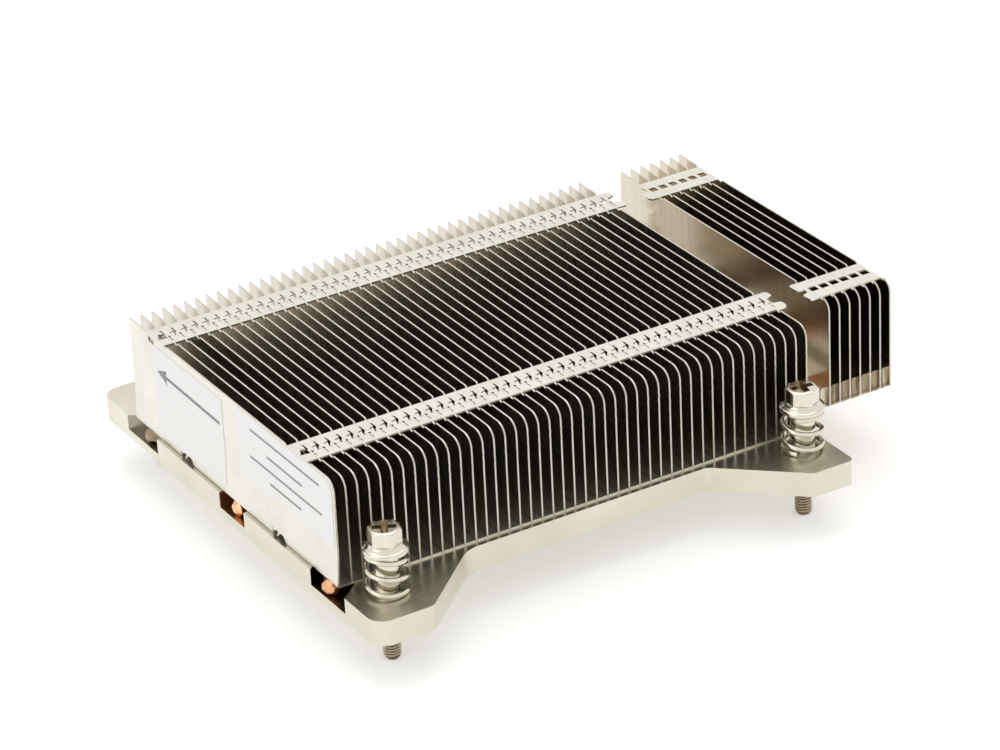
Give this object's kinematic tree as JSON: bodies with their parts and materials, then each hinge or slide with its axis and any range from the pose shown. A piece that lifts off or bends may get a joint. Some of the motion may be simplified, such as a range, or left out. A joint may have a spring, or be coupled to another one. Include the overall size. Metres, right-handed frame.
{
  "type": "passive cpu heatsink",
  "caption": "Low passive heatsink: stacked folded fins on an eared base plate, flattened heat pipes out to a smaller fin block, and captive spring screws.",
  "frame": {"origin": "centre of the screw pattern on the base plate's flat underside, the face that meets the processor", "axes": "+Z away from the processor, through the fins; +X along the row of fins toward the smaller fin block; +Y toward the plate's side that is far from the camera in the picture"},
  "size_m": [0.1135, 0.0968, 0.0315],
  "materials": {
    "plated_plate": "brushed plating",
    "fin_sheet": "satin",
    "copper_pipe": "dull copper",
    "label_film": "matt",
    "spring_steel": "bright",
    "ring_steel": "bright",
    "screw_steel": "bright nickel plate"
  },
  "bodies": {
    "heatsink": {"base_plate": "plated_plate", "heat_pipe_near": "copper_pipe", "heat_pipe_middle": "copper_pipe", "heat_pipe_far": "copper_pipe", "main_fin_pair_01": "fin_sheet", "main_fin_pair_02": "fin_sheet", "main_fin_pair_03": "fin_sheet", "main_fin_pair_04": "fin_sheet", "main_fin_pair_05": "fin_sheet", "main_fin_pair_06": "fin_sheet", "main_fin_pair_07": "fin_sheet", "main_fin_pair_08": "fin_sheet", "main_fin_pair_09": "fin_sheet", "main_fin_pair_10": "fin_sheet", "main_fin_pair_11": "fin_sheet", "main_fin_pair_12": "fin_sheet", "main_fin_pair_13": "fin_sheet", "main_fin_pair_14": "fin_sheet", "main_fin_pair_15": "fin_sheet", "main_fin_pair_16": "fin_sheet", "main_fin_pair_17": "fin_sheet", "main_fin_pair_18": "fin_sheet", "main_fin_pair_19": "fin_sheet", "main_fin_pair_20": "fin_sheet", "main_fin_pair_21": "fin_sheet", "main_fin_pair_22": "fin_sheet", "outboard_fin_1": "fin_sheet", "outboard_fin_2": "fin_sheet", "outboard_fin_3": "fin_sheet", "outboard_fin_4": "fin_sheet", "outboard_fin_5": "fin_sheet", "outboard_fin_6": "fin_sheet", "outboard_fin_7": "fin_sheet", "near_label": "label_film", "far_label": "label_film", "spring_near_left": "spring_steel", "spring_near_right": "spring_steel", "spring_far_left": "spring_steel", "spring_far_right": "spring_steel"},
    "ring_near_left": {"retaining_ring_near_left": "ring_steel"},
    "screw_near_left": {"screw_near_left": "screw_steel"},
    "ring_near_right": {"retaining_ring_near_right": "ring_steel"},
    "screw_near_right": {"screw_near_right": "screw_steel"},
    "ring_far_left": {"retaining_ring_far_left": "ring_steel"},
    "screw_far_left": {"screw_far_left": "screw_steel"},
    "ring_far_right": {"retaining_ring_far_right": "ring_steel"},
    "screw_far_right": {"screw_far_right": "screw_steel"}
  },
  "joints": [
    {"name": "press_near_left", "type": "slide", "parent": "heatsink", "child": "ring_near_left", "axis": [0, 0, 1], "range_m": [-0.003, 0], "stiffness_N_per_m": 16000, "springref_m": 0.001, "deforming": ["spring_near_left"]},
    {"name": "turn_near_left", "type": "hinge", "parent": "ring_near_left", "child": "screw_near_left", "pos_m": [-0.04, -0.04, 0], "axis": [0, 0, 1], "continuous": true},
    {"name": "press_near_right", "type": "slide", "parent": "heatsink", "child": "ring_near_right", "axis": [0, 0, 1], "range_m": [-0.003, 0], "stiffness_N_per_m": 16000, "springref_m": 0.001, "deforming": ["spring_near_right"]},
    {"name": "turn_near_right", "type": "hinge", "parent": "ring_near_right", "child": "screw_near_right", "pos_m": [0.04, -0.04, 0], "axis": [0, 0, 1], "continuous": true},
    {"name": "press_far_left", "type": "slide", "parent": "heatsink", "child": "ring_far_left", "axis": [0, 0, 1], "range_m": [-0.003, 0], "stiffness_N_per_m": 16000, "springref_m": 0.001, "deforming": ["spring_far_left"]},
    {"name": "turn_far_left", "type": "hinge", "parent": "ring_far_left", "child": "screw_far_left", "pos_m": [-0.04, 0.04, 0], "axis": [0, 0, 1], "continuous": true},
    {"name": "press_far_right", "type": "slide", "parent": "heatsink", "child": "ring_far_right", "axis": [0, 0, 1], "range_m": [-0.003, 0], "stiffness_N_per_m": 16000, "springref_m": 0.001, "deforming": ["spring_far_right"]},
    {"name": "turn_far_right", "type": "hinge", "parent": "ring_far_right", "child": "screw_far_right", "pos_m": [0.04, 0.04, 0], "axis": [0, 0, 1], "continuous": true}
  ]
}
